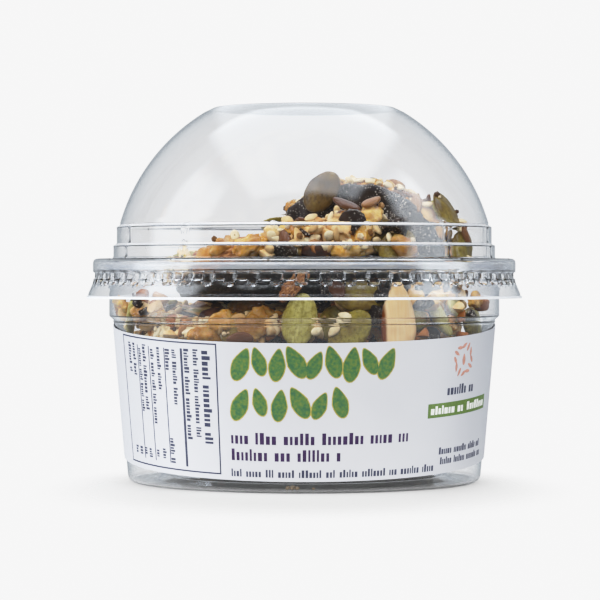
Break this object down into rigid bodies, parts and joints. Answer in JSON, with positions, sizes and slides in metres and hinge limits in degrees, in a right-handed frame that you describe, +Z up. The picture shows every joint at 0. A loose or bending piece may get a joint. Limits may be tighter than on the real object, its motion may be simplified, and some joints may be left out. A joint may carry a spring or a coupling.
{
  "type": "domed tub of florentine cookies",
  "caption": "Clear round plastic tub with a press-on dome lid and a wrap label, filled with nut and seed florentine cookies on dark chocolate.",
  "frame": {"origin": "on the tub's axis, on the surface that it stands on", "axes": "+Z up along the tub's axis, -Y the front with the middle of the label, +X to the right seen from the front"},
  "size_m": [0.1028, 0.1028, 0.088],
  "materials": {
    "clear_plastic": "clear thermoformed sheet with a wet gloss",
    "label_paper": "smooth white label paper with a printed design",
    "dark_chocolate": "tempered dark chocolate with a soft sheen",
    "nut_layer": "chopped nuts and seeds set in golden caramel",
    "almond": "smooth dry nut",
    "pumpkin_seed": "smooth olive seed with a faint sheen"
  },
  "bodies": {
    "root": {"cup": "clear_plastic", "lid": "clear_plastic", "label": "label_paper", "cookie_1_chocolate": "dark_chocolate", "cookie_1_nuts": "nut_layer", "cookie_2_chocolate": "dark_chocolate", "cookie_2_nuts": "nut_layer", "cookie_3_chocolate": "dark_chocolate", "cookie_3_nuts": "nut_layer", "cookie_4_chocolate": "dark_chocolate", "cookie_4_nuts": "nut_layer", "cookie_5_chocolate": "dark_chocolate", "cookie_5_nuts": "nut_layer", "cookie_6_chocolate": "dark_chocolate", "cookie_6_nuts": "nut_layer", "almond_half": "almond", "almond_slice": "almond", "pumpkin_seed_1": "pumpkin_seed", "pumpkin_seed_2": "pumpkin_seed", "pumpkin_seed_3": "pumpkin_seed", "pumpkin_seed_4": "pumpkin_seed", "pumpkin_seed_5": "pumpkin_seed", "pumpkin_seed_6": "pumpkin_seed", "pumpkin_seed_7": "pumpkin_seed", "pumpkin_seed_8": "pumpkin_seed"}
  },
  "joints": []
}
